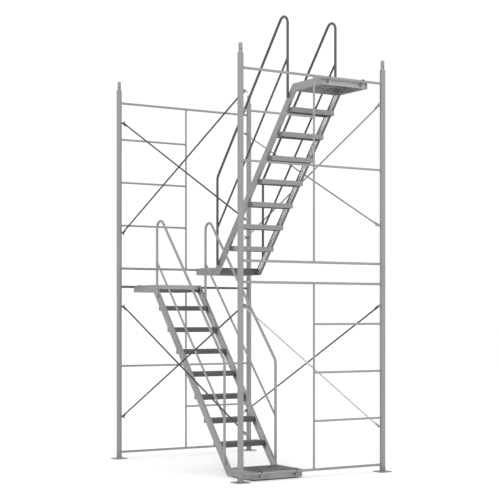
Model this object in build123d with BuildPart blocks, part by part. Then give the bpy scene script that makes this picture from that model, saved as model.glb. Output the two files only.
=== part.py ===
import os
from math import atan2, tan

from build123d import *

# Scaffold stair tower of two lifts, in millimetres, +Z up.
# The origin is on the ground, in the middle of the tower.
# -Y is the front, where the lower flight is entered; the lower flight stands at -X and
# climbs to the back, and the upper flight stands at +X and climbs to the front.

# Tower
bay_length = 2500.0
frame_width = 1670.0

# Posts
post_diameter = 57.0
post_wall = 3.0
spigot_diameter = 38.0
spigot_length = 95.0
spigot_chamfer = 5.0
head_plug_length = 60.0
socket_clearance = 0.4
socket_extra_depth = 15.0
lock_pin_height = 32.0
lock_pin_hole_diameter = 13.0

# Base plates
plate_size = 140.0
plate_thickness = 8.0
plate_corner_radius = 8.0
anchor_spacing = 100.0
anchor_hole_diameter = 14.0

# End frames
ledger_diameter = 25.0
ledger_wall = 2.0
low_ledger_height = 65.0
ledger_head_gap = 135.0
rung_diameter = 21.3
rung_wall = 2.0
rung_pitch = 468.0

# Side braces and the studs that hold them
stud_low_height = 450.0
stud_head_gap = 350.0
stud_diameter = 12.0
stud_shoulder_diameter = 20.0
stud_tip_length = 14.0
stud_hole_clearance = 0.3
brace_diameter = 16.0
brace_post_gap = 1.5
brace_cross_gap = 0.5
brace_tab_thickness = 4.0
brace_tab_width = 26.0
brace_tab_length = 55.0
brace_taper_length = 40.0

# Flights
riser_count = 8
riser = 225.0
well_gap = 220.0
brace_flight_gap = 94.5
end_gap = 42.0
low_landing_length = 425.0
high_landing_length = 485.0
stringer_depth = 74.0
stringer_width = 28.0
stringer_wall = 4.0
tread_depth = 150.0
tread_face = 50.0
tread_sheet = 3.0
tread_end_plate = 4.0
nosing_radius = 5.0
landing_sheet = 4.0
landing_rib_count = 2
landing_rib_depth = 30.0

# Hooks that carry a flight on the ledgers
hook_fit = 0.5
hook_plate = 10.0
hook_rim = 9.0
hook_lip = 14.0
hook_web_drop = 45.0
hook_inset = 55.0

# Handrails, with their heights over the nosings at the low and at the high leg
rail_diameter = 26.9
rail_wall = 2.3
mid_rail_diameter = 21.3
mid_rail_wall = 2.0
low_leg_inset = 58.0
high_leg_inset = 73.0
leg_lap = 45.0
leg_seat_depth = 1.2
lower_rail_low_height = 960.0
lower_rail_high_height = 880.0
upper_rail_low_height = 915.0
upper_rail_high_height = 915.0
mid_rail_drop = 555.0
low_bend_radius = 90.0
high_bend_radius = 75.0

# Worked out from the values above
post_radius = post_diameter / 2
post_bore_radius = post_radius - post_wall
spigot_radius = spigot_diameter / 2
socket_radius = spigot_radius + socket_clearance
socket_depth = spigot_length + socket_extra_depth
ledger_radius = ledger_diameter / 2
rung_radius = rung_diameter / 2
ledger_rise = riser_count * riser
high_ledger_height = low_ledger_height + ledger_rise
lift_height = high_ledger_height + ledger_head_gap
stud_high_height = lift_height - stud_head_gap
flight_length = bay_length - 2 * end_gap
going = (flight_length - low_landing_length - high_landing_length) / riser_count
slope = atan2(riser, going)
# On each side the two braces pass between the post and the flight
brace_space = post_radius + brace_post_gap + 2 * brace_diameter + brace_cross_gap
flight_width = (frame_width - well_gap) / 2 - brace_space - brace_flight_gap
flight_centre = (well_gap + flight_width) / 2
clear_width = flight_width - 2 * stringer_width

lifts = {"lower": plate_thickness, "upper": plate_thickness + lift_height}
frame_ends = {"front": -bay_length / 2, "back": bay_length / 2}
frame_sides = {"left": -frame_width / 2, "right": frame_width / 2}
# Each flight: the level that it starts from, its middle in X, and the way that it climbs along Y
flights = {"lower": (lifts["lower"], -flight_centre, 1), "upper": (lifts["upper"], flight_centre, -1)}
rail_heights = {
    "lower": (lower_rail_low_height, lower_rail_high_height),
    "upper": (upper_rail_low_height, upper_rail_high_height),
}

os.makedirs("parts", exist_ok=True)


def save(piece, name):
    piece.part.label = name
    export_step(piece.part, f"parts/{name}.step")


def side_plane(x):
    """Plane across X: its first direction is +Y and its second is +Z."""
    return Plane(origin=(x, 0, 0), x_dir=(0, 1, 0), z_dir=(1, 0, 0))


def across_plane(x, y, z):
    """Plane across X at one point, for tubes that run from post to post."""
    return Plane(origin=(x, y, z), x_dir=(0, 1, 0), z_dir=(1, 0, 0))


def level_plane(x, y, z):
    return Plane(origin=(x, y, z), x_dir=(1, 0, 0), z_dir=(0, 0, 1))


def drill_lock_pin_hole(x, y, joint):
    """Cross hole, from front to back, for the pin that locks what is joined at the height joint."""
    with BuildSketch(Plane(origin=(x, y, joint + lock_pin_height), x_dir=(1, 0, 0), z_dir=(0, -1, 0))) as hole:
        Circle(lock_pin_hole_diameter / 2)
    extrude(hole.sketch, amount=post_diameter, both=True, mode=Mode.SUBTRACT)


# Base plates

def make_base_plate(name, x, y):
    with BuildPart() as plate:
        with BuildSketch(level_plane(x, y, 0)):
            RectangleRounded(plate_size, plate_size, plate_corner_radius)
            with GridLocations(anchor_spacing, anchor_spacing, 2, 2):
                Circle(anchor_hole_diameter / 2, mode=Mode.SUBTRACT)
        extrude(amount=plate_thickness)
        with BuildSketch(level_plane(x, y, plate_thickness)):
            Circle(spigot_radius)
        extrude(amount=spigot_length)
        pin_tip = plate.edges().filter_by(GeomType.CIRCLE).sort_by(Axis.Z)[-1]
        chamfer(pin_tip, spigot_chamfer)
        drill_lock_pin_hole(x, y, plate_thickness)
    save(plate, name)


# Posts

def stud_reach(leans_inward):
    """Distance from the post's axis to the seat of a brace tab."""
    outer_face = post_radius + brace_post_gap
    if leans_inward:
        return outer_face + brace_diameter + brace_cross_gap
    return outer_face + brace_diameter - brace_tab_thickness


def make_post(name, x, y, base, inward, falls_to_front):
    head = base + lift_height
    section = Plane(origin=(x, y, 0), x_dir=(1, 0, 0), z_dir=(0, -1, 0))
    # The rising brace leans outward and the falling one inward, so that they pass each other
    studs = {base + stud_low_height: falls_to_front, base + stud_high_height: not falls_to_front}
    with BuildPart() as post:
        with BuildSketch(section):
            with BuildLine():
                Polyline(
                    (0, base),
                    (post_radius, base),
                    (post_radius, head),
                    (spigot_radius, head),
                    (spigot_radius, head + spigot_length - spigot_chamfer),
                    (spigot_radius - spigot_chamfer, head + spigot_length),
                    (0, head + spigot_length),
                    close=True,
                )
            make_face()
        revolve(axis=Axis((x, y, 0), (0, 0, 1)))
        for height, leans_inward in studs.items():
            seat = stud_reach(leans_inward)
            root = Plane(origin=(x, y, height), x_dir=(0, 1, 0), z_dir=(inward, 0, 0))
            with BuildSketch(root):
                Circle(stud_shoulder_diameter / 2)
            extrude(amount=seat)
            with BuildSketch(root):
                Circle(stud_diameter / 2)
            extrude(amount=seat + stud_tip_length)
        with BuildSketch(section):
            with BuildLine():
                Polyline(
                    (0, base),
                    (socket_radius, base),
                    (socket_radius, base + socket_depth),
                    (post_bore_radius, base + socket_depth),
                    (post_bore_radius, head - head_plug_length),
                    (0, head - head_plug_length),
                    close=True,
                )
            make_face()
        revolve(axis=Axis((x, y, 0), (0, 0, 1)), mode=Mode.SUBTRACT)
        drill_lock_pin_hole(x, y, base)
        drill_lock_pin_hole(x, y, head)
    save(post, name)


# End frames

def cut_posts(y, z):
    """Cope whatever meets the two posts of one end frame near the height z."""
    with BuildSketch(level_plane(0, y, z - ledger_diameter)) as posts:
        with Locations((frame_sides["left"], 0), (frame_sides["right"], 0)):
            Circle(post_radius)
    extrude(posts.sketch, amount=2 * ledger_diameter, mode=Mode.SUBTRACT)


def make_ledger(name, y, z):
    start = across_plane(frame_sides["left"], y, z)
    with BuildPart() as ledger:
        with BuildSketch(start):
            Circle(ledger_radius)
            Circle(ledger_radius - ledger_wall, mode=Mode.SUBTRACT)
        extrude(amount=frame_width)
        cut_posts(y, z)
    save(ledger, name)


def make_middle_upright(name, y, base):
    with BuildPart() as upright:
        with BuildSketch(level_plane(0, y, base + low_ledger_height)):
            Circle(rung_radius)
            Circle(rung_radius - rung_wall, mode=Mode.SUBTRACT)
        extrude(amount=ledger_rise)
        for height in (low_ledger_height, high_ledger_height):
            with BuildSketch(across_plane(-ledger_diameter, y, base + height)):
                Circle(ledger_radius)
            extrude(amount=2 * ledger_diameter, mode=Mode.SUBTRACT)
    save(upright, name)


def make_rungs(name, y, base, halves):
    """halves lists (which rung up from the bottom ledger, -1 for the left half or 1 for the right)."""
    with BuildPart() as rungs:
        for number, side in halves:
            z = base + low_ledger_height + number * rung_pitch
            with BuildSketch(across_plane(min(0, side) * frame_width / 2, y, z)):
                Circle(rung_radius)
                Circle(rung_radius - rung_wall, mode=Mode.SUBTRACT)
            extrude(amount=frame_width / 2)
            cut_posts(y, z)
            with BuildSketch(level_plane(0, y, z - ledger_diameter)):
                Circle(rung_radius)
            extrude(amount=2 * ledger_diameter, mode=Mode.SUBTRACT)
    save(rungs, name)


# Side braces

def make_brace(name, x, inward, foot, head, leans_inward):
    """A round bar with flattened ends, from the stud at foot to the stud at head, given as (y, z)."""
    run = head[0] - foot[0]
    rise = head[1] - foot[1]
    length = (run ** 2 + rise ** 2) ** 0.5
    tab_seat = x + inward * stud_reach(leans_inward)
    along = Vector(0, run / length, rise / length)
    # In this plane the first direction runs along the bar and the third points into the tower
    tab_plane = Plane(origin=(tab_seat, foot[0], foot[1]), x_dir=along, z_dir=(inward, 0, 0))
    if leans_inward:
        bar_centre = brace_diameter / 2
    else:
        bar_centre = brace_tab_thickness - brace_diameter / 2
    bar_start = brace_tab_length + brace_taper_length

    def cross_plane(distance, height):
        point = Vector(tab_seat + inward * height, foot[0], foot[1]) + along * distance
        return Plane(origin=point, x_dir=(inward, 0, 0), z_dir=along)

    with BuildPart() as brace:
        with BuildSketch(cross_plane(bar_start, bar_centre)):
            Circle(brace_diameter / 2)
        extrude(amount=length - 2 * bar_start)
        for near, far in ((brace_tab_length, bar_start), (length - brace_tab_length, length - bar_start)):
            with BuildSketch(cross_plane(near, brace_tab_thickness / 2)):
                Rectangle(brace_tab_thickness, brace_tab_width)
            with BuildSketch(cross_plane(far, bar_centre)):
                Circle(brace_diameter / 2)
            loft()
        with BuildSketch(tab_plane):
            for end, towards in ((0, 1), (length, -1)):
                with Locations((end, 0)):
                    Circle(brace_tab_width / 2)
                with Locations((end + towards * brace_tab_length / 2, 0)):
                    Rectangle(brace_tab_length, brace_tab_width)
            with Locations((0, 0), (length, 0)):
                Circle(stud_diameter / 2 + stud_hole_clearance, mode=Mode.SUBTRACT)
        extrude(amount=brace_tab_thickness)
    save(brace, name)


# Flights: a point of a flight is its distance from the low end face and its height over the low
# landing, which is level with the top of the ledger that carries it

def flight_point(level, direction, distance, height):
    low_landing_top = level + low_ledger_height + ledger_radius
    return (direction * (distance - flight_length / 2), low_landing_top + height)


def nosing_height(distance):
    """Height of the line through the nosings, over the low landing."""
    return (distance - low_landing_length) * riser / going


def stringer_outline(level, direction):
    low_bend = low_landing_length
    high_bend = flight_length - high_landing_length
    bend_shift = stringer_depth * tan(slope / 2)
    outline = (
        (0, 0),
        (low_bend, 0),
        (high_bend, ledger_rise),
        (flight_length, ledger_rise),
        (flight_length, ledger_rise - stringer_depth),
        (high_bend + bend_shift, ledger_rise - stringer_depth),
        (low_bend + bend_shift, -stringer_depth),
        (0, -stringer_depth),
    )
    return [flight_point(level, direction, *point) for point in outline]


def make_stringer(name, level, direction, outer_x, inward):
    outline = stringer_outline(level, direction)
    with BuildPart() as stringer:
        with BuildSketch(side_plane(outer_x)):
            with BuildLine():
                Polyline(*outline, close=True)
            make_face()
        extrude(amount=inward * stringer_width)
        with BuildSketch(side_plane(outer_x + inward * stringer_wall)):
            with BuildLine():
                Polyline(*outline, close=True)
            make_face()
            offset(amount=-stringer_wall, kind=Kind.INTERSECTION, mode=Mode.REPLACE)
        extrude(amount=inward * (stringer_width - stringer_wall), mode=Mode.SUBTRACT)
    save(stringer, name)


def make_treads(name, level, middle, direction):
    left = middle - clear_width / 2
    with BuildPart() as treads:
        for number in range(1, riser_count):
            nosing = low_landing_length + number * going
            height = number * riser
            section = (
                (nosing, height),
                (nosing + tread_depth, height),
                (nosing + tread_depth, height - tread_face),
                (nosing, height - tread_face),
            )
            corners = [flight_point(level, direction, *point) for point in section]
            with BuildSketch(side_plane(left)) as profile:
                with BuildLine():
                    Polyline(*corners, close=True)
                make_face()
                fillet(profile.vertices().sort_by_distance((*corners[0], 0))[0], nosing_radius)
            extrude(profile.sketch, amount=clear_width)
            hollow = (
                (nosing + tread_sheet, height - tread_sheet),
                (nosing + tread_depth - tread_sheet, height - tread_sheet),
                (nosing + tread_depth - tread_sheet, height - tread_face),
                (nosing + tread_sheet, height - tread_face),
            )
            corners = [flight_point(level, direction, *point) for point in hollow]
            with BuildSketch(side_plane(left + tread_end_plate)) as inside:
                with BuildLine():
                    Polyline(*corners, close=True)
                make_face()
                fillet(inside.vertices().sort_by_distance((*corners[0], 0))[0], nosing_radius - tread_sheet)
            extrude(inside.sketch, amount=clear_width - 2 * tread_end_plate, mode=Mode.SUBTRACT)
    save(treads, name)


def make_landing(name, level, middle, direction, high):
    """A pressed tray between the stringers, ribbed below, with two hooks over the ledger."""
    if high:
        inner, outer, top = flight_length - high_landing_length, flight_length, ledger_rise
    else:
        inner, outer, top = low_landing_length, 0, 0
    end_y, top_z = flight_point(level, direction, outer, top)
    inner_y = flight_point(level, direction, inner, top)[0]
    centre_y = (end_y + inner_y) / 2
    length = abs(outer - inner)
    # The way from the landing to its ledger
    out = direction if high else -direction
    hook_centre = (end_y + out * end_gap, top_z - ledger_radius - hook_fit)
    notch_radius = ledger_radius + hook_fit
    hook_radius = notch_radius + hook_rim
    with BuildPart() as landing:
        with BuildSketch(level_plane(middle, centre_y, top_z)):
            Rectangle(clear_width, length)
        extrude(amount=-stringer_depth)
        with BuildSketch(level_plane(middle, centre_y, top_z - landing_sheet)):
            Rectangle(clear_width - 2 * landing_sheet, length - 2 * landing_sheet)
        extrude(amount=-stringer_depth, mode=Mode.SUBTRACT)
        with BuildSketch(level_plane(middle, centre_y, top_z - landing_sheet)):
            with GridLocations(0, length / (landing_rib_count + 1), 1, landing_rib_count):
                Rectangle(clear_width - 2 * landing_sheet, landing_sheet)
        extrude(amount=-landing_rib_depth)
        for hook_x in (middle - clear_width / 2 + hook_inset, middle + clear_width / 2 - hook_inset):
            with BuildSketch(Plane(origin=(hook_x, *hook_centre), x_dir=(0, 1, 0), z_dir=(1, 0, 0))):
                Circle(hook_radius)
                with Locations((out * hook_radius / 2, -hook_lip / 2)):
                    Rectangle(hook_radius, hook_lip)
                with Locations((-out * end_gap / 2, (hook_radius - hook_web_drop) / 2)):
                    Rectangle(end_gap, hook_radius + hook_web_drop)
                with Locations((out * notch_radius, -hook_lip - notch_radius)):
                    Rectangle(3 * notch_radius, 2 * notch_radius, mode=Mode.SUBTRACT)
                Circle(notch_radius, mode=Mode.SUBTRACT)
                with Locations((0, -hook_web_drop)):
                    Rectangle(2 * notch_radius, 2 * hook_web_drop, mode=Mode.SUBTRACT)
            extrude(amount=hook_plate / 2, both=True)
    save(landing, name)


# Handrails

def make_handrail(name, level, direction, outer_x, inward, heights):
    """A bent tube with a mid rail, whose legs stand against the outer face of a stringer."""
    x = outer_x - inward * (rail_diameter / 2 - leg_seat_depth)
    low_leg = low_landing_length + low_leg_inset
    high_leg = flight_length - high_landing_length - high_leg_inset
    low_top = nosing_height(low_leg) + heights[0]
    high_top = nosing_height(high_leg) + heights[1]
    route = [
        flight_point(level, direction, low_leg, nosing_height(low_leg) - leg_lap),
        flight_point(level, direction, low_leg, low_top),
        flight_point(level, direction, high_leg, high_top),
        flight_point(level, direction, high_leg, nosing_height(high_leg) - leg_lap),
    ]
    mid_low = Vector(x, *flight_point(level, direction, low_leg, low_top - mid_rail_drop))
    mid_high = Vector(x, *flight_point(level, direction, high_leg, high_top - mid_rail_drop))
    mid_length = (mid_high - mid_low).length
    mid_start = Plane(origin=mid_low, x_dir=(1, 0, 0), z_dir=(mid_high - mid_low).normalized())
    leg_foot = level_plane(x, *route[0])
    with BuildLine(side_plane(x)) as path:
        FilletPolyline(*route, radius=[low_bend_radius, high_bend_radius])
    with BuildPart() as rail:
        with BuildSketch(leg_foot):
            Circle(rail_diameter / 2)
        sweep(path=path.wires()[0])
        with BuildSketch(mid_start):
            Circle(mid_rail_diameter / 2)
        extrude(amount=mid_length)
        with BuildSketch(leg_foot):
            Circle(rail_diameter / 2 - rail_wall)
        sweep(path=path.wires()[0], mode=Mode.SUBTRACT)
        with BuildSketch(mid_start):
            Circle(mid_rail_diameter / 2 - mid_rail_wall)
        extrude(amount=mid_length, mode=Mode.SUBTRACT)
        # The legs are ground flat where they meet the stringer
        with BuildSketch(side_plane(outer_x)):
            with BuildLine():
                Polyline(*stringer_outline(level, direction), close=True)
            make_face()
        extrude(amount=inward * rail_diameter, mode=Mode.SUBTRACT)
    save(rail, name)


# The tower

for end, y in frame_ends.items():
    for side, x in frame_sides.items():
        make_base_plate(f"base_plate_{end}_{side}", x, y)

for lift, base in lifts.items():
    for end, y in frame_ends.items():
        for side, x in frame_sides.items():
            inward = 1 if side == "left" else -1
            # On each side the bar that falls to the front leans inward
            make_post(f"post_{lift}_{end}_{side}", x, y, base, inward, end == "front")
        make_ledger(f"ledger_{lift}_{end}_bottom", y, base + low_ledger_height)
        make_ledger(f"ledger_{lift}_{end}_top", y, base + high_ledger_height)
        make_middle_upright(f"middle_upright_{lift}_{end}", y, base)

make_rungs("rungs_lower_front", frame_ends["front"], lifts["lower"], ((1, 1), (2, 1), (3, 1)))
make_rungs("rungs_lower_back", frame_ends["back"], lifts["lower"], ((1, 1), (2, 1), (2, -1)))
make_rungs("rungs_upper_front", frame_ends["front"], lifts["upper"], ((3, -1), (2, -1), (2, 1)))
make_rungs("rungs_upper_back", frame_ends["back"], lifts["upper"], ((1, -1), (2, -1), (3, -1)))

for lift, base in lifts.items():
    for side, x in frame_sides.items():
        inward = 1 if side == "left" else -1
        low, high = base + stud_low_height, base + stud_high_height
        front, back = frame_ends["front"], frame_ends["back"]
        make_brace(f"brace_{lift}_{side}_rising", x, inward, (front, low), (back, high), True)
        make_brace(f"brace_{lift}_{side}_falling", x, inward, (back, low), (front, high), False)

for lift, (level, middle, direction) in flights.items():
    for side, inward in (("left", 1), ("right", -1)):
        outer_x = middle - inward * flight_width / 2
        make_stringer(f"stringer_{lift}_{side}", level, direction, outer_x, inward)
        make_handrail(f"handrail_{lift}_{side}", level, direction, outer_x, inward, rail_heights[lift])
    make_treads(f"treads_{lift}", level, middle, direction)
    make_landing(f"landing_{lift}_bottom", level, middle, direction, False)
    make_landing(f"landing_{lift}_top", level, middle, direction, True)
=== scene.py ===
"""A scaffold stair tower of two lifts in galvanised steel, with its welds, fasteners and grip.

Lengths are in metres. +Z is up, -Y is the front, and the lower flight stands at -X.
A place on a flight is its distance along the run from the low end, and its height over the
low landing.
"""
import math

import bpy
from mathutils import Matrix, Vector


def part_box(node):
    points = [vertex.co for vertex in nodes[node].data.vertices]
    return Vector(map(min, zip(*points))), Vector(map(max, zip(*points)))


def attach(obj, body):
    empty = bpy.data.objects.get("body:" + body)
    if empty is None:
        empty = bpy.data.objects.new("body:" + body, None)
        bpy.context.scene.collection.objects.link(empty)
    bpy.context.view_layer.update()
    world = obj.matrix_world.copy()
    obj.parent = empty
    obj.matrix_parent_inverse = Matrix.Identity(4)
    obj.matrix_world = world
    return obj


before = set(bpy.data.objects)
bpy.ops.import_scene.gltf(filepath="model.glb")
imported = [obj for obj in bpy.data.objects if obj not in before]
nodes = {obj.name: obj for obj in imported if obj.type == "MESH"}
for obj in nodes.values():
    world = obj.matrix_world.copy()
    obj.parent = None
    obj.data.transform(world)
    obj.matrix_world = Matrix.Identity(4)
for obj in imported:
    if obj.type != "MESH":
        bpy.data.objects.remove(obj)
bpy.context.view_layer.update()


# Sizes that are read from the frame

def low_of(node):
    return Vector(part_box(node)[0])


def high_of(node):
    return Vector(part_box(node)[1])


def middle_of(node):
    return (low_of(node) + high_of(node)) / 2


def size_of(node):
    return high_of(node) - low_of(node)


FOOT = low_of("post_lower_front_right").z
LIFT = low_of("post_upper_front_right").z - FOOT
POST_X = middle_of("base_plate_front_right").x
POST_Y = middle_of("base_plate_back_right").y
LEDGER_RADIUS = size_of("ledger_lower_front_bottom").z / 2
LEDGER_HEIGHTS = tuple(
    middle_of(f"ledger_lower_front_{end}").z - FOOT for end in ("bottom", "top")
)
RUNG_RADIUS = size_of("middle_upright_lower_front").x / 2
FLIGHT_X = middle_of("treads_upper").x
CLEAR_WIDTH = size_of("treads_upper").x
FLIGHT_HALF_WIDTH = high_of("stringer_upper_right").x - FLIGHT_X
FLIGHT_HALF_LENGTH = high_of("stringer_lower_left").y
LOW_LANDING = FLIGHT_HALF_LENGTH + high_of("landing_lower_bottom").y
HIGH_LANDING = FLIGHT_HALF_LENGTH - low_of("landing_lower_top").y

# Sizes that the boxes of the frame don't give
POST_RADIUS = 0.0285
SPIGOT_RADIUS = 0.019
LOCK_PIN_HEIGHT = 0.032
RUNG_PITCH = 0.468
STUD_HEIGHTS = (0.45, 1.65)
STUD_SEATS = {"outer": 0.042, "inner": 0.0465}
STUD_SHOULDER_RADIUS = 0.010
TAB_THICKNESS = 0.004
RISERS = 8
TREAD_DEPTH = 0.150
TREAD_SHEET = 0.003
STRINGER_DEPTH = 0.074
STRINGER_WALL = 0.004
LANDING_SHEET = 0.004
HOOK_PLATE = 0.010
HOOK_INSET = 0.055
RAIL_RADIUS = 0.01345
MID_RAIL_RADIUS = 0.01065
LEG_SEAT = 0.0012
LEG_LAP = 0.045
MID_RAIL_HEIGHTS = {"lower": (0.405, 0.325), "upper": (0.360, 0.360)}

LANDING_TOP = FOOT + LEDGER_HEIGHTS[0] + LEDGER_RADIUS
RISE = high_of("stringer_lower_left").z - LANDING_TOP
RISER = RISE / RISERS
RUN_LENGTH = 2 * FLIGHT_HALF_LENGTH
GOING = (RUN_LENGTH - LOW_LANDING - HIGH_LANDING) / RISERS
SLOPE = math.atan2(RISER, GOING)
LOW_LEG = low_of("handrail_lower_left").y + RAIL_RADIUS + FLIGHT_HALF_LENGTH
HIGH_LEG = high_of("handrail_lower_left").y - RAIL_RADIUS + FLIGHT_HALF_LENGTH
LIFT_FEET = {"lower": FOOT, "upper": FOOT + LIFT}
FRAME_ENDS = {"front": -POST_Y, "back": POST_Y}
# Each flight: the level of its low landing, its middle in X, and the way that it climbs along Y
FLIGHTS = {"lower": (LANDING_TOP, -FLIGHT_X, 1), "upper": (LANDING_TOP + LIFT, FLIGHT_X, -1)}


def flight_y(direction, distance):
    """Y of a place on a flight, from its distance along the run."""
    return direction * (distance - FLIGHT_HALF_LENGTH)


def nosing_height(distance):
    """Height of the line through the nosings, over the low landing."""
    return (distance - LOW_LANDING) * RISER / GOING


# Zinc: its tones, the scale of its marks, and how far each mark lightens or darkens it

LIGHT_ZINC = (0.288, 0.288, 0.288)
POST_ZINC = (0.268, 0.268, 0.268)
TREAD_EDGE_ZINC = (0.258, 0.258, 0.258)
LANDING_ZINC = (0.340, 0.340, 0.340)
# Painted shade: a dark tone that stands for shade on the upper handrails, a ledger, the treads, the
# landings and the grip
PAINTED_SHADE_ZINC = (0.090, 0.090, 0.090)
# Painted shade: a still darker tone for the braces that are painted dark
DEEP_PAINTED_SHADE_ZINC = (0.048, 0.048, 0.048)
# Painted shade: the grey painted under the treads
UNDER_TREAD_SHADE_ZINC = (0.190, 0.190, 0.190)
# Painted light: the tone painted inside the landings' trays, against their shade, as light as the
# landing's zinc
PAINTED_LIGHT_TRAY_ZINC = (0.340, 0.340, 0.340)
# Painted light: a light tone for one brace and for the shaded insides of the stringers
PAINTED_LIGHT_ZINC = (0.560, 0.560, 0.560)
# Painted highlight: a near-white web inside the last stringer
PAINTED_HIGHLIGHT_WEB_ZINC = (0.930, 0.930, 0.930)
# Painted shade: the dark flange edges of the last stringer, its upper lip in a band EDGE_BAND wide
PAINTED_SHADE_EDGE_ZINC = (0.130, 0.130, 0.130)
EDGE_BAND = 0.010
WELD_ZINC = (0.245, 0.245, 0.242)
PLATED_ZINC = (0.36, 0.36, 0.35)
METAL_SHARE = 0.55

SPANGLE_SCALE = 120.0
FINE_SPANGLE_SCALE = 310.0
CLOUD_SCALE = 4.5
RUN_STRETCH = (38, 38, 2.2)
SCUFF_SCALE = 18.0
BLOOM_SCALE = 17.0
PORE_SCALE = 620.0
DIRT_HEIGHT = 0.30
CLOUD_CONTRAST = 0.13
SPANGLE_CONTRAST = 0.075
FINE_SPANGLE_CONTRAST = 0.05
RUN_CONTRAST = 0.10
SCUFF_LIGHTENING = 0.10
BLOOM_LIGHTENING = 0.05
DIRT_DARKENING = 0.16
RELIEF_DEPTH = 0.0006
RELIEF_STRENGTH = 0.45

# How far a painted place reaches past the faces that it takes in
SKIN = 0.0005


class Shade:
    """One socket of a material's nodes, so that masks and mixes are written as sums."""

    def __init__(self, tree, socket=None):
        self.tree = tree
        self.socket = socket

    def node(self, kind, values, output=0, **settings):
        """Adds any node: its settings first, then the values or links of its sockets."""
        made = self.tree.nodes.new(kind)
        for name, value in settings.items():
            setattr(made, name, value)
        for name, value in values.items():
            if isinstance(value, Shade):
                self.tree.links.new(value.socket, made.inputs[name])
            else:
                made.inputs[name].default_value = value
        return Shade(self.tree, made.outputs[output])

    def maths(self, operation, *values):
        return self.node("ShaderNodeMath", dict(enumerate(values)), operation=operation)

    def __add__(self, other):
        return self.maths("ADD", self, other)

    def __radd__(self, other):
        return self.maths("ADD", other, self)

    def __sub__(self, other):
        return self.maths("SUBTRACT", self, other)

    def __rsub__(self, other):
        return self.maths("SUBTRACT", other, self)

    def __mul__(self, other):
        return self.maths("MULTIPLY", self, other)

    def __rmul__(self, other):
        return self.maths("MULTIPLY", other, self)

    def __truediv__(self, other):
        return self.maths("DIVIDE", self, other)

    def __gt__(self, other):
        return self.maths("GREATER_THAN", self, other)

    def __lt__(self, other):
        return self.maths("LESS_THAN", self, other)

    def at_least(self, other):
        return self.maths("MAXIMUM", self, other)

    def at_most(self, other):
        return self.maths("MINIMUM", self, other)

    def fraction(self):
        return self.maths("FRACT", self)

    def between(self, low, high):
        return (self > low) * (self < high)

    def smooth(self, low, high):
        """0 below low and 1 above high, with a soft step between."""
        values = {"Value": self, "From Min": low, "From Max": high}
        return self.node("ShaderNodeMapRange", values, interpolation_type="SMOOTHSTEP")

    def noise(self, scale, detail=3.0, roughness=0.5, stretch=(1, 1, 1)):
        place = self.node("ShaderNodeMapping", {"Vector": self, "Scale": stretch})
        values = {"Vector": place, "Scale": scale, "Detail": detail, "Roughness": roughness}
        return self.node("ShaderNodeTexNoise", values)

    def crystals(self, scale):
        """A grey of its own for each crystal of the zinc."""
        cells = self.node("ShaderNodeTexVoronoi", {"Vector": self, "Scale": scale}, output="Color")
        return self.node("ShaderNodeSeparateColor", {0: cells})


def zinc(name, base=LIGHT_ZINC, tones=(), wear=1.0):
    """Hot-dip galvanised steel: spangle, dull clouds, runs, scuffs, white blooms and low dirt.

    Each of the tones is a colour, and a function that takes the Object coordinates and says
    where that colour lies.
    """
    material = bpy.data.materials.new(name)
    material.use_nodes = True
    tree = material.node_tree
    shader = tree.nodes["Principled BSDF"]
    place = Shade(tree).node("ShaderNodeTexCoord", {}, output="Object")
    x, y, z = (place.node("ShaderNodeSeparateXYZ", {0: place}, output=axis) for axis in "XYZ")

    spangle = place.crystals(SPANGLE_SCALE)
    fine_spangle = place.crystals(FINE_SPANGLE_SCALE)
    clouds = place.noise(CLOUD_SCALE, detail=5.0, roughness=0.6)
    runs = place.noise(1.0, stretch=RUN_STRETCH)
    scuffs = place.noise(SCUFF_SCALE, detail=8.0, roughness=0.72).smooth(0.61, 0.70)
    blooms = place.noise(BLOOM_SCALE, detail=6.0).smooth(0.60, 0.72)
    dirt = (1 - z.smooth(0.0, DIRT_HEIGHT)) * clouds.smooth(0.35, 0.7)

    shading = 1.0 + CLOUD_CONTRAST * (clouds - 0.5) + SPANGLE_CONTRAST * (spangle - 0.5)
    shading = shading + FINE_SPANGLE_CONTRAST * (fine_spangle - 0.5) + RUN_CONTRAST * (runs - 0.5)
    shading = shading + SCUFF_LIGHTENING * wear * scuffs + BLOOM_LIGHTENING * blooms
    shading = shading - DIRT_DARKENING * dirt
    colour = (*base, 1)
    for tone, where in tones:
        values = {0: where(x, y, z), 6: colour, 7: (*tone, 1)}
        colour = place.node("ShaderNodeMix", values, output=2, data_type="RGBA")
    steel = place.node(
        "ShaderNodeVectorMath",
        {0: colour if tones else base, "Scale": shading},
        operation="SCALE",
    )
    roughness = 0.46 + 0.20 * (clouds - 0.5) + 0.10 * (spangle - 0.5)
    roughness = roughness - 0.12 * scuffs + 0.18 * dirt + 0.10 * blooms
    pores = place.noise(PORE_SCALE, detail=2.0)
    height = 0.5 * spangle + 0.6 * pores + 1.6 * runs.smooth(0.55, 0.75) + 0.8 * blooms
    relief = place.node(
        "ShaderNodeBump",
        {"Height": height, "Distance": RELIEF_DEPTH, "Strength": RELIEF_STRENGTH},
    )

    shader.inputs["Metallic"].default_value = METAL_SHARE
    for socket, value in (("Base Color", steel), ("Roughness", roughness), ("Normal", relief)):
        tree.links.new(value.socket, shader.inputs[socket])
    return material


def run_along(y, direction):
    """Distance from a flight's low end, along the run."""
    return direction * y + FLIGHT_HALF_LENGTH


def tread_places(y, z, landing, direction):
    """How far a point of the treads lies behind the last nosing, and over the last tread."""
    behind = ((run_along(y, direction) - LOW_LANDING + SKIN) / GOING).fraction() * GOING - SKIN
    over = ((z - landing + SKIN) / RISER).fraction() * RISER - SKIN
    return behind, over


def painted_shade_treads(landing, direction):
    """Painted shade: the treads are painted dark all but their back edges."""
    def where(x, y, z):
        behind = tread_places(y, z, landing, direction)[0]
        return behind < TREAD_DEPTH - 3 * SKIN
    return where


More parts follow.
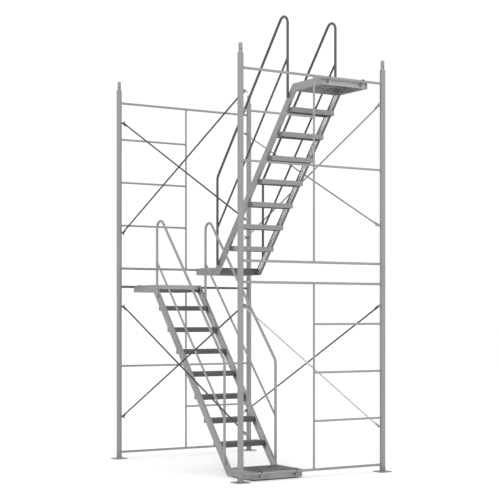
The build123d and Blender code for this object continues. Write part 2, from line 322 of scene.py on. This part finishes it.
# Painted shade: the hollow undersides of the treads
def painted_shade_under_treads(landing, direction):
    def where(x, y, z):
        behind, over = tread_places(y, z, landing, direction)
        hollow = behind.between(TREAD_SHEET - SKIN, TREAD_DEPTH - TREAD_SHEET + SKIN)
        return hollow * over.between(TREAD_SHEET, RISER - TREAD_SHEET + SKIN)
    return where


# Painted shade: the top face of a landing's deck, painted dark
def deck(top):
    def where(x, y, z):
        return z > top - SKIN
    return where


def inner_lip(direction, inner, outer, low, high):
    """The lip of a landing that faces its flight, between two heights."""
    edge = flight_y(direction, inner)
    way = 1 if flight_y(direction, outer) > edge else -1

    def where(x, y, z):
        return (way * (y - edge) < LANDING_SHEET / 2) * z.between(low, high)
    return where


def painted_light_under_deck(middle, direction, top, outer, inner):
    """All that lies inside the skirt of a landing's tray, which is painted light against its shade.
    """
    half = CLEAR_WIDTH / 2 - LANDING_SHEET + SKIN
    low, high = sorted(flight_y(direction, distance) for distance in (outer, inner))
    skin = LANDING_SHEET - SKIN

    def where(x, y, z):
        inside = x.between(middle - half, middle + half) * y.between(low + skin, high - skin)
        return inside * (z < top - skin)
    return where


def stringer_line(run, depth):
    """Height of the line that runs through a stringer at one depth under its upper edge."""
    incline = (run - LOW_LANDING) * (RISER / GOING) - depth / math.cos(SLOPE)
    return incline.at_least(-depth).at_most(RISE - depth)


def channel_painted_light(landing, middle, direction):
    """The inside of a stringer, which is painted light against the shade there."""
    half = FLIGHT_HALF_WIDTH - STRINGER_WALL + SKIN
    wall = STRINGER_WALL - SKIN

    def where(x, y, z):
        run = run_along(y, direction)
        height = z - landing
        between_flanges = height < stringer_line(run, wall)
        between_flanges = between_flanges * (height > stringer_line(run, STRINGER_DEPTH - wall))
        between_ends = run.between(wall, RUN_LENGTH - wall)
        return between_flanges * between_ends * x.between(middle - half, middle + half)
    return where


def painted_shade_edges(landing, middle, direction):
    """Where the last stringer is painted dark, as painted shade: its lower flange, and the lip of
    its upper one.
    """
    lip = middle + CLEAR_WIDTH / 2 + EDGE_BAND
    web = middle + FLIGHT_HALF_WIDTH - SKIN

    def where(x, y, z):
        flange_line = stringer_line(run_along(y, direction), STRINGER_DEPTH - STRINGER_WALL)
        lower_flange = (z - landing < flange_line) * (x < web)
        return lower_flange.at_least(x < lip)
    return where


def paint(material, *names):
    for name in names:
        for slot in nodes[name].material_slots:
            slot.material = material


post_zinc = zinc("post_zinc", POST_ZINC, wear=1.2)
tube_zinc = zinc("frame_tube_zinc")
# Painted shade: a dark copy of the zinc for the upper handrails and one ledger
painted_shade_tube_zinc = zinc("tube_zinc_painted_shade", PAINTED_SHADE_ZINC)
# Painted shade: a darker copy of the zinc for the left braces and one more
painted_shade_brace_zinc = zinc("brace_zinc_painted_shade", DEEP_PAINTED_SHADE_ZINC)
# Painted light: a light copy of the zinc for one brace
painted_light_brace_zinc = zinc("painted_light_brace_zinc", PAINTED_LIGHT_ZINC)
plate_zinc = zinc("base_plate_zinc", wear=1.6)
weld_zinc = zinc("weld_zinc", WELD_ZINC, wear=0.4)
fastener_zinc = zinc("fastener_zinc", PLATED_ZINC)
# Painted shade: the grip buttons are painted dark like the treads and decks they stand on, with
# real wear
painted_shade_grip_zinc = zinc("painted_shade_grip_zinc", PAINTED_SHADE_ZINC, wear=2.2)

for end in FRAME_ENDS:
    for side in ("left", "right"):
        paint(plate_zinc, f"base_plate_{end}_{side}")
for lift in LIFT_FEET:
    for end in FRAME_ENDS:
        for side in ("left", "right"):
            paint(post_zinc, f"post_{lift}_{end}_{side}")
        paint(tube_zinc, f"ledger_{lift}_{end}_bottom", f"ledger_{lift}_{end}_top")
        paint(tube_zinc, f"middle_upright_{lift}_{end}", f"rungs_{lift}_{end}")
    for side in ("left", "right"):
        # The left braces carry the painted shade
        brace_zinc = painted_shade_brace_zinc if side == "left" else tube_zinc
        paint(brace_zinc, f"brace_{lift}_{side}_rising", f"brace_{lift}_{side}_falling")
        # Painted shade on the handrails of the upper lift
        paint(painted_shade_tube_zinc if lift == "upper" else tube_zinc, f"handrail_{lift}_{side}")
# Painted shade on this ledger and on one brace, and painted light on the other brace
paint(painted_shade_tube_zinc, "ledger_lower_back_top")
paint(painted_shade_brace_zinc, "brace_lower_right_falling")
paint(painted_light_brace_zinc, "brace_lower_right_rising")

# How much of each landing's inner lip is painted dark as painted shade, from below
PAINTED_SHADE_LIP_SHARES = {"bottom": 1.0, "top": 0.4}
for lift, (landing, middle, direction) in FLIGHTS.items():
    # Painted light inside the channels of the stringers
    channel = (PAINTED_LIGHT_ZINC, channel_painted_light(landing, middle, direction))
    channel_zinc = zinc(f"stringer_zinc_{lift}", tones=[channel])
    paint(channel_zinc, f"stringer_{lift}_left", f"stringer_{lift}_right")
    # Painted shade on the treads: dark but for their back edges, and mid-dark under them
    tread_tones = [
        (PAINTED_SHADE_ZINC, painted_shade_treads(landing, direction)),
        (UNDER_TREAD_SHADE_ZINC, painted_shade_under_treads(landing, direction)),
    ]
    paint(zinc(f"tread_zinc_{lift}", TREAD_EDGE_ZINC, tread_tones), f"treads_{lift}")
    trays = {
        "bottom": (landing, 0, LOW_LANDING),
        "top": (landing + RISE, RUN_LENGTH, RUN_LENGTH - HIGH_LANDING),
    }
    for end, (top, outer, inner) in trays.items():
        lip_height = PAINTED_SHADE_LIP_SHARES[end] * STRINGER_DEPTH
        lip_low = top - STRINGER_DEPTH - SKIN
        # Painted light inside the tray, and painted shade on its inner lip and its deck top
        tray_tones = [
            (PAINTED_LIGHT_TRAY_ZINC, painted_light_under_deck(middle, direction, top, outer, inner)),
            (PAINTED_SHADE_ZINC, inner_lip(direction, inner, outer, lip_low, lip_low + lip_height)),
            (PAINTED_SHADE_ZINC, deck(top)),
        ]
        paint(zinc(f"landing_zinc_{lift}_{end}", LANDING_ZINC, tray_tones), f"landing_{lift}_{end}")

# Painted highlight on the web inside the last stringer, and painted shade on its flanges
open_tones = [
    (PAINTED_HIGHLIGHT_WEB_ZINC, channel_painted_light(*FLIGHTS["upper"])),
    (PAINTED_SHADE_EDGE_ZINC, painted_shade_edges(*FLIGHTS["upper"])),
]
paint(zinc("open_stringer_zinc", tones=open_tones), "stringer_upper_right")


# Modelling

MERGE_DISTANCE = 1e-6
SHARP_EDGE = math.radians(35)
SMOOTH_ANGLE = math.radians(40)
# The least part of a normal along an axis for a face to count as square to that axis
SQUARE = 0.9


def start_fresh():
    """Leaves nothing selected, so that the operators act on the new piece alone."""
    if bpy.context.mode != "OBJECT":
        bpy.ops.object.mode_set(mode="OBJECT")
    bpy.ops.object.select_all(action="DESELECT")


def pick(piece):
    start_fresh()
    piece.select_set(True)
    bpy.context.view_layer.objects.active = piece


def settle(piece):
    """Puts the piece's place into its mesh."""
    pick(piece)
    bpy.ops.object.transform_apply(location=True, rotation=True, scale=True)
    return piece


def edit_faces(piece, wanted):
    """Enters edit mode with the faces selected for which wanted(centre, normal) is true."""
    pick(piece)
    bpy.ops.object.mode_set(mode="EDIT")
    bpy.ops.mesh.select_mode(type="FACE")
    bpy.ops.mesh.select_all(action="DESELECT")
    bpy.ops.object.mode_set(mode="OBJECT")
    for face in piece.data.polygons:
        face.select = wanted(face.center, face.normal)
    bpy.ops.object.mode_set(mode="EDIT")


def close_up(piece):
    """Closes open ends and points every face outwards."""
    pick(piece)
    bpy.ops.object.mode_set(mode="EDIT")
    bpy.ops.mesh.select_all(action="SELECT")
    bpy.ops.mesh.remove_doubles(threshold=MERGE_DISTANCE)
    bpy.ops.mesh.fill_holes(sides=0)
    bpy.ops.mesh.normals_make_consistent(inside=False)
    bpy.ops.object.mode_set(mode="OBJECT")
    return piece


def round_edges(piece, width, segments=2):
    pick(piece)
    bevel = piece.modifiers.new("Bevel", "BEVEL")
    bevel.width = width
    bevel.segments = segments
    bevel.limit_method = "ANGLE"
    bevel.angle_limit = SHARP_EDGE
    bpy.ops.object.modifier_apply(modifier=bevel.name)
    return piece


def at(point, turn=Matrix()):
    return Matrix.Translation(point) @ turn


def facing(towards, beside):
    """The turn that brings +Z onto one direction, and +X as near as can be to another."""
    z_axis = Vector(towards).normalized()
    beside = Vector(beside)
    x_axis = (beside - z_axis * beside.dot(z_axis)).normalized()
    y_axis = z_axis.cross(x_axis)
    return Matrix((x_axis, y_axis, z_axis)).transposed().to_4x4()


def copies_of(pattern, places, name, material):
    """Copies one modelled pattern to each place, a 4x4 matrix, and joins the copies."""
    made = []
    for place in places:
        copy = pattern.copy()
        copy.data = pattern.data.copy()
        bpy.context.scene.collection.objects.link(copy)
        copy.data.transform(place)
        made.append(copy)
    pick(made[0])
    for copy in made:
        copy.select_set(True)
    bpy.ops.object.join()
    piece = bpy.context.view_layer.objects.active
    piece.name = piece.data.name = name
    piece.data.materials.clear()
    piece.data.materials.append(material)
    bpy.data.objects.remove(pattern)
    pick(piece)
    bpy.ops.object.shade_smooth_by_angle(angle=SMOOTH_ANGLE)
    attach(piece, "root")
    return piece


# Welds round the ends of tubes

RING_STEPS = 24
BEAD_RADIUS = 0.0026
BEAD_RIPPLE = 0.0004
# How far across a host tube its surface is still followed, as a share of its radius
HOST_REACH = 0.97


def ring_bead(tube_radius, host_radius=None, lean=0.0):
    """A rippled bead round a tube whose axis runs up Z to the axis of its host, at z 0.

    The host tube runs along X, or leans by an angle from X towards Z. With no host the bead
    lies flat.
    """
    start_fresh()
    bpy.ops.mesh.primitive_torus_add(
        major_radius=tube_radius + BEAD_RADIUS / 4,
        minor_radius=BEAD_RADIUS,
        major_segments=RING_STEPS,
        minor_segments=6,
    )
    bead = settle(bpy.context.active_object)
    bpy.ops.object.mode_set(mode="EDIT")
    bpy.ops.mesh.select_mode(type="VERT")
    bpy.ops.mesh.select_all(action="DESELECT")
    bpy.ops.object.mode_set(mode="OBJECT")
    for vertex in bead.data.vertices:
        step = math.atan2(vertex.co.y, vertex.co.x) / math.tau * RING_STEPS
        vertex.select = round(step) % 2 == 0
    bpy.ops.object.mode_set(mode="EDIT")
    bpy.ops.transform.shrink_fatten(value=BEAD_RIPPLE)
    bpy.ops.object.mode_set(mode="OBJECT")
    if host_radius:
        for vertex in bead.data.vertices:
            across = min(abs(vertex.co.y), HOST_REACH * host_radius)
            reach = math.sqrt(host_radius ** 2 - across ** 2)
            vertex.co.z -= (reach - vertex.co.x * math.sin(lean)) / math.cos(lean)
    return bead


def ring_welds(name, tube_radius, host_radius, joints):
    """joints: where the two axes meet, the way to it along the tube, and the way of the host."""
    lean = math.asin(Vector(joints[0][1]).normalized().dot(joints[0][2]))
    places = [at(point, facing(towards, host)) for point, towards, host in joints]
    copies_of(ring_bead(tube_radius, host_radius, lean), places, name, weld_zinc)


UP = Vector((0, 0, 1))
RUNGS = {
    ("lower", "front"): ((1, 1), (2, 1), (3, 1)),
    ("lower", "back"): ((1, 1), (2, 1), (2, -1)),
    ("upper", "front"): ((3, -1), (2, -1), (2, 1)),
    ("upper", "back"): ((1, -1), (2, -1), (3, -1)),
}
ledger_ends = []
rung_outer_ends = []
rung_inner_ends = []
upright_ends = []
stud_roots = []
for lift, foot in LIFT_FEET.items():
    for end, y in FRAME_ENDS.items():
        for side in (-1, 1):
            for height in LEDGER_HEIGHTS:
                ledger_ends.append(((side * POST_X, y, foot + height), (side, 0, 0), UP))
            for height in STUD_HEIGHTS:
                stud_roots.append(((side * POST_X, y, foot + height), (side, 0, 0), UP))
        for number, side in RUNGS[lift, end]:
            z = foot + LEDGER_HEIGHTS[0] + number * RUNG_PITCH
            rung_outer_ends.append(((side * POST_X, y, z), (side, 0, 0), UP))
            rung_inner_ends.append(((0, y, z), (-side, 0, 0), UP))
        for height, towards in zip(LEDGER_HEIGHTS, (-1, 1)):
            upright_ends.append(((0, y, foot + height), (0, 0, towards), Vector((1, 0, 0))))
ring_welds("ledger_welds", LEDGER_RADIUS, POST_RADIUS, ledger_ends)
ring_welds("rung_welds_at_posts", RUNG_RADIUS, POST_RADIUS, rung_outer_ends)
ring_welds("rung_welds_at_uprights", RUNG_RADIUS, RUNG_RADIUS, rung_inner_ends)
ring_welds("upright_welds", RUNG_RADIUS, LEDGER_RADIUS, upright_ends)
ring_welds("stud_welds", STUD_SHOULDER_RADIUS, POST_RADIUS, stud_roots)

heads = [
    at((side * POST_X, y, FOOT + 2 * LIFT))
    for side in (-1, 1)
    for y in FRAME_ENDS.values()
]
copies_of(ring_bead(SPIGOT_RADIUS), heads, "spigot_welds", weld_zinc)

for lift, (landing, middle, direction) in FLIGHTS.items():
    ends = []
    for side in (-1, 1):
        x = middle + side * (FLIGHT_HALF_WIDTH + RAIL_RADIUS - LEG_SEAT)
        low, high = (
            Vector((x, flight_y(direction, leg), landing + nosing_height(leg) + height))
            for leg, height in zip((LOW_LEG, HIGH_LEG), MID_RAIL_HEIGHTS[lift])
        )
        ends += [(high, high - low, UP), (low, low - high, -UP)]
    ring_welds(f"mid_rail_welds_{lift}", MID_RAIL_RADIUS, RAIL_RADIUS, ends)


# Straight welds

RIPPLE_PITCH = 0.0045
RIPPLE_WAIST = 0.84


def straight_bead(length):
    """A rippled bead up Z from the origin, tapered at both ends."""
    steps = 2 * round(length / RIPPLE_PITCH)
    start_fresh()
    bpy.ops.mesh.primitive_circle_add(vertices=8, radius=BEAD_RADIUS / 2, fill_type="NGON")
    bead = settle(bpy.context.active_object)
    bpy.ops.object.mode_set(mode="EDIT")
    bpy.ops.mesh.select_all(action="SELECT")
    for step in range(1, steps + 1):
        bpy.ops.mesh.extrude_region_move(TRANSFORM_OT_translate={"value": (0, 0, length / steps)})
        if step == 1:
            growth = 2.0
        elif step == steps:
            growth = 0.5
        else:
            growth = RIPPLE_WAIST if step % 2 == 0 else 1 / RIPPLE_WAIST
        bpy.ops.transform.resize(value=(growth, growth, 1))
    bpy.ops.object.mode_set(mode="OBJECT")
    return close_up(bead)


LEG_WELD = 0.036
LEG_WELD_OFFSET = 0.0086
TREAD_WELD = 0.060
HOOK_WELD = 0.050
TRAY_WELD = 0.040
TRAY_WELD_SHARES = (0.2, 0.5, 0.8)
leg_welds = []
tread_welds = []
hook_welds = []
tray_welds = []
for landing, middle, direction in FLIGHTS.values():
    uphill = Vector((0, direction * math.cos(SLOPE), math.sin(SLOPE)))
    # Out of the stringer's lower face
    downward = Vector((0, direction * math.sin(SLOPE), -math.cos(SLOPE)))
    for side in (-1, 1):
        outward = Vector((side, 0, 0))
        web = middle + side * FLIGHT_HALF_WIDTH
        for leg in (LOW_LEG, HIGH_LEG):
            foot = landing + nosing_height(leg) - LEG_LAP
            for beside in (-LEG_WELD_OFFSET, LEG_WELD_OFFSET):
                start = (web + side * LEG_SEAT, flight_y(direction, leg) + beside, foot)
                leg_welds.append(at(start))
        flange_tip = middle + side * (CLEAR_WIDTH / 2 + BEAD_RADIUS / 2)
        for number in range(1, RISERS):
            nosing = Vector((
                flange_tip,
                flight_y(direction, LOW_LANDING + number * GOING),
                landing + number * RISER,
            ))
            start = nosing + downward * (STRINGER_DEPTH + BEAD_RADIUS / 2)
            tread_welds.append(at(start, facing(uphill, outward)))
        hook = middle + side * (CLEAR_WIDTH / 2 - HOOK_INSET)
        trays = ((0, LOW_LANDING, landing), (RUN_LENGTH, RUN_LENGTH - HIGH_LANDING, landing + RISE))
        for outer, inner, top in trays:
            for beside in (-HOOK_PLATE / 2, HOOK_PLATE / 2):
                bottom = top - HOOK_WELD - LANDING_SHEET
                hook_welds.append(at((hook + beside, flight_y(direction, outer), bottom)))
            for share in TRAY_WELD_SHARES:
                y = flight_y(direction, outer + share * (inner - outer)) - TRAY_WELD / 2
                seam = (middle + side * CLEAR_WIDTH / 2, y, top - STRINGER_DEPTH)
                tray_welds.append(at(seam, facing((0, 1, 0), (1, 0, 0))))
copies_of(straight_bead(LEG_WELD), leg_welds, "handrail_leg_welds", weld_zinc)
copies_of(straight_bead(TREAD_WELD), tread_welds, "tread_welds", weld_zinc)
copies_of(straight_bead(HOOK_WELD), hook_welds, "hook_welds", weld_zinc)
copies_of(straight_bead(TRAY_WELD), tray_welds, "landing_welds", weld_zinc)


# Lock pins through the feet of the posts, each with a wire bail that snaps round the post

PIN_RADIUS = 0.0055
PIN_REACH = 0.038
PIN_HEAD = 0.005
PIN_HEAD_OVERHANG = 0.6 * PIN_RADIUS
PIN_TIP_TAPER = 0.6
PIN_ROUNDING = 0.0007
BAIL_RADIUS = 0.0345
BAIL_WIRE = 0.0017
BAIL_STEPS = 20


def lock_pin():
    """A pin along Y through the origin, with its head at -Y and its bail round the +X side."""
    start_fresh()
    bpy.ops.mesh.primitive_cylinder_add(
        vertices=20,
        radius=PIN_RADIUS,
        depth=2 * PIN_REACH,
        rotation=(math.radians(90), 0, 0),
    )
    pin = settle(bpy.context.active_object)
    edit_faces(pin, lambda centre, normal: normal.y < -SQUARE)
    bpy.ops.mesh.inset(thickness=-PIN_HEAD_OVERHANG, use_even_offset=False)
    bpy.ops.mesh.extrude_region_move(TRANSFORM_OT_translate={"value": (0, -PIN_HEAD, 0)})
    edit_faces(pin, lambda centre, normal: normal.y > SQUARE and centre.y > 0)
    bpy.ops.mesh.extrude_region_move(TRANSFORM_OT_translate={"value": (0, PIN_RADIUS / 2, 0)})
    bpy.ops.transform.resize(value=(PIN_TIP_TAPER, 1, PIN_TIP_TAPER))
    bpy.ops.object.mode_set(mode="OBJECT")
    round_edges(close_up(pin), PIN_ROUNDING)

    start_fresh()
    bpy.ops.mesh.primitive_circle_add(
        vertices=8,
        radius=BAIL_WIRE,
        location=(0, -BAIL_RADIUS, 0),
        rotation=(0, math.radians(90), 0),
    )
    bail = settle(bpy.context.active_object)
    bpy.ops.object.mode_set(mode="EDIT")
    bpy.ops.mesh.select_all(action="SELECT")
    bpy.ops.mesh.spin(steps=BAIL_STEPS, angle=math.pi, center=(0, 0, 0), axis=(0, 0, -1))
    bpy.ops.object.mode_set(mode="OBJECT")
    close_up(bail)
    pin.select_set(True)
    bpy.context.view_layer.objects.active = pin
    bpy.ops.object.join()
    return pin


pin_places = []
for foot in LIFT_FEET.values():
    for y in FRAME_ENDS.values():
        for side in (-1, 1):
            turn = Matrix.Rotation(0 if side > 0 else math.pi, 4, "Z")
            pin_places.append(at((side * POST_X, y, foot + LOCK_PIN_HEIGHT), turn))
copies_of(lock_pin(), pin_places, "lock_pins", fastener_zinc)


# Wing nuts and washers that hold the braces on their studs

NUT_RADIUS = 0.0105
NUT_DEPTH = 0.008
NUT_ROUNDING = 0.0009
STUD_HOLE_RADIUS = 0.0062
WASHER_RADIUS = 0.0125
WASHER_THICKNESS = 0.0016
WASHER_ROUNDING = 0.0003
WING_ROOT = 0.97
WING_REACH = 0.010
WING_TIP = 0.007
WING_RISE = 0.005
# Each nut is turned on from the one before, as it was left when tightened
FIRST_NUT_TURN = 35
NEXT_NUT_TURN = 50


def wing_nut():
    """A hub with two raised wings, standing on z 0 with its hole along Z."""
    start_fresh()
    bpy.ops.mesh.primitive_cylinder_add(
        vertices=16,
        radius=NUT_RADIUS,
        depth=NUT_DEPTH,
        location=(0, 0, NUT_DEPTH / 2),
    )
    nut = settle(bpy.context.active_object)
    # Only the narrow face at each end of the hub
    edit_faces(nut, lambda centre, normal: abs(normal.x) > WING_ROOT)
    for reach in (WING_REACH, WING_TIP):
        bpy.ops.mesh.extrude_region_shrink_fatten(TRANSFORM_OT_shrink_fatten={"value": reach})
        bpy.ops.transform.translate(value=(0, 0, WING_RISE))
    hub = NUT_RADIUS / 2
    edit_faces(nut, lambda centre, normal: abs(normal.z) > SQUARE and abs(centre.x) < hub)
    bpy.ops.mesh.inset(thickness=NUT_RADIUS - STUD_HOLE_RADIUS)
    bpy.ops.mesh.bridge_edge_loops()
    bpy.ops.object.mode_set(mode="OBJECT")
    return round_edges(nut, NUT_ROUNDING)


def washer():
    start_fresh()
    bpy.ops.mesh.primitive_cylinder_add(
        vertices=28,
        radius=WASHER_RADIUS,
        depth=WASHER_THICKNESS,
        location=(0, 0, WASHER_THICKNESS / 2),
    )
    ring = settle(bpy.context.active_object)
    edit_faces(ring, lambda centre, normal: abs(normal.z) > SQUARE)
    bpy.ops.mesh.inset(thickness=WASHER_RADIUS - STUD_HOLE_RADIUS)
    bpy.ops.mesh.bridge_edge_loops()
    bpy.ops.object.mode_set(mode="OBJECT")
    return round_edges(ring, WASHER_ROUNDING, segments=1)


nut_places = []
washer_places = []
for foot in LIFT_FEET.values():
    for side in (-1, 1):
        for end in (-1, 1):
            for height in STUD_HEIGHTS:
                # The front post carries the rising brace, which leans inward, on its low stud
                leans_in = (end < 0) == (height == STUD_HEIGHTS[0])
                seat = STUD_SEATS["inner"] if leans_in else STUD_SEATS["outer"]
                face = POST_X - seat - TAB_THICKNESS
                place = at((side * face, end * POST_Y, foot + height), facing((-side, 0, 0), UP))
                turned = math.radians(FIRST_NUT_TURN + NEXT_NUT_TURN * len(nut_places))
                washer_places.append(place)
                on_washer = at((0, 0, WASHER_THICKNESS), Matrix.Rotation(turned, 4, "Z"))
                nut_places.append(place @ on_washer)
copies_of(wing_nut(), nut_places, "brace_wing_nuts", fastener_zinc)
copies_of(washer(), washer_places, "brace_washers", fastener_zinc)


# Grip on the treads and landings: rows of small pressed buttons

BUTTON_RADIUS = 0.0062
BUTTON_HEIGHT = 0.0016
BUTTON_TAPER = 0.62
BUTTON_PITCH = 0.028
GRIP_MARGIN = 0.022


def button():
    start_fresh()
    bpy.ops.mesh.primitive_cylinder_add(
        vertices=8,
        radius=BUTTON_RADIUS,
        depth=BUTTON_HEIGHT,
        location=(0, 0, BUTTON_HEIGHT / 2),
    )
    pressed = settle(bpy.context.active_object)
    edit_faces(pressed, lambda centre, normal: normal.z > SQUARE)
    bpy.ops.transform.resize(value=(BUTTON_TAPER, BUTTON_TAPER, 1))
    edit_faces(pressed, lambda centre, normal: normal.z < -SQUARE)
    bpy.ops.mesh.delete(type="FACE")
    bpy.ops.object.mode_set(mode="OBJECT")
    return pressed


def grip_places(middle, direction, near, far, z):
    """Staggered rows over a deck that reaches from near to far along the run."""
    low, high = sorted(flight_y(direction, distance) for distance in (near, far))
    rows = int((high - low - 2 * GRIP_MARGIN) / BUTTON_PITCH) + 1
    columns = int((CLEAR_WIDTH - 2 * GRIP_MARGIN) / BUTTON_PITCH)
    first = (low + high - (rows - 1) * BUTTON_PITCH) / 2
    places = []
    for row in range(rows):
        count = columns + 1 - row % 2
        for column in range(count):
            x = middle + (column - (count - 1) / 2) * BUTTON_PITCH
            places.append(at((x, first + row * BUTTON_PITCH, z)))
    return places


for lift, (landing, middle, direction) in FLIGHTS.items():
    places = []
    for number in range(1, RISERS):
        nosing = LOW_LANDING + number * GOING
        tread_top = landing + number * RISER
        places += grip_places(middle, direction, nosing, nosing + TREAD_DEPTH, tread_top)
    copies_of(button(), places, f"tread_grip_{lift}", painted_shade_grip_zinc)
    places = grip_places(middle, direction, 0, LOW_LANDING, landing)
    places += grip_places(middle, direction, RUN_LENGTH - HIGH_LANDING, RUN_LENGTH, landing + RISE)
    copies_of(button(), places, f"landing_grip_{lift}", painted_shade_grip_zinc)


# Floor, light and camera

FLOOR_SIZE = 160
FLOOR_WHITE = (0.98, 0.98, 0.98, 1)
FLOOR_ROUGHNESS = 0.9
STUDIO_WHITE = (1, 1, 1, 1)
STUDIO_STRENGTH = 1.04

start_fresh()
bpy.ops.mesh.primitive_plane_add(size=FLOOR_SIZE)
floor = bpy.context.active_object
floor.name = "floor"
floor_finish = bpy.data.materials.new("pale_floor")
floor_finish.use_nodes = True
floor_shader = floor_finish.node_tree.nodes["Principled BSDF"]
floor_shader.inputs["Base Color"].default_value = FLOOR_WHITE
floor_shader.inputs["Roughness"].default_value = FLOOR_ROUGHNESS
floor.data.materials.append(floor_finish)

world = bpy.data.worlds.new("studio")
bpy.context.scene.world = world
world.use_nodes = True
backdrop = world.node_tree.nodes["Background"]
backdrop.inputs["Color"].default_value = STUDIO_WHITE
backdrop.inputs["Strength"].default_value = STUDIO_STRENGTH


def soft_light(name, place, aim, size, power):
    light = bpy.data.lights.new(name, "AREA")
    light.size = size
    light.energy = power
    holder = bpy.data.objects.new(name, light)
    holder.matrix_world = at(place, facing(Vector(place) - Vector(aim), (1, 0, 0)))
    bpy.context.scene.collection.objects.link(holder)


soft_light("key_light", (-14.0, -12.0, 15.0), (0, 0, 2.2), 10.0, 1200)
soft_light("fill_light", (12.0, -18.0, 10.0), (0, 0, 2.0), 12.0, 500)

# The camera is level; its shift holds the horizon below the middle of the frame
VIEW_TURN = math.radians(32.318)
CAMERA_PLACE = (-7.4153, -11.8173, 1.563)
FOCAL_PIXELS = 1336.4
HORIZON_ROW = 315.2
FRAME_PIXELS = 500
lens = bpy.data.cameras.new("camera")
lens.lens = FOCAL_PIXELS / FRAME_PIXELS * lens.sensor_width
lens.shift_y = (HORIZON_ROW - FRAME_PIXELS / 2) / FRAME_PIXELS
camera = bpy.data.objects.new("camera", lens)
camera.location = CAMERA_PLACE
camera.rotation_euler = (math.radians(90), 0, -VIEW_TURN)
bpy.context.scene.collection.objects.link(camera)
bpy.context.scene.camera = camera
bpy.context.scene.view_settings.view_transform = "Standard"
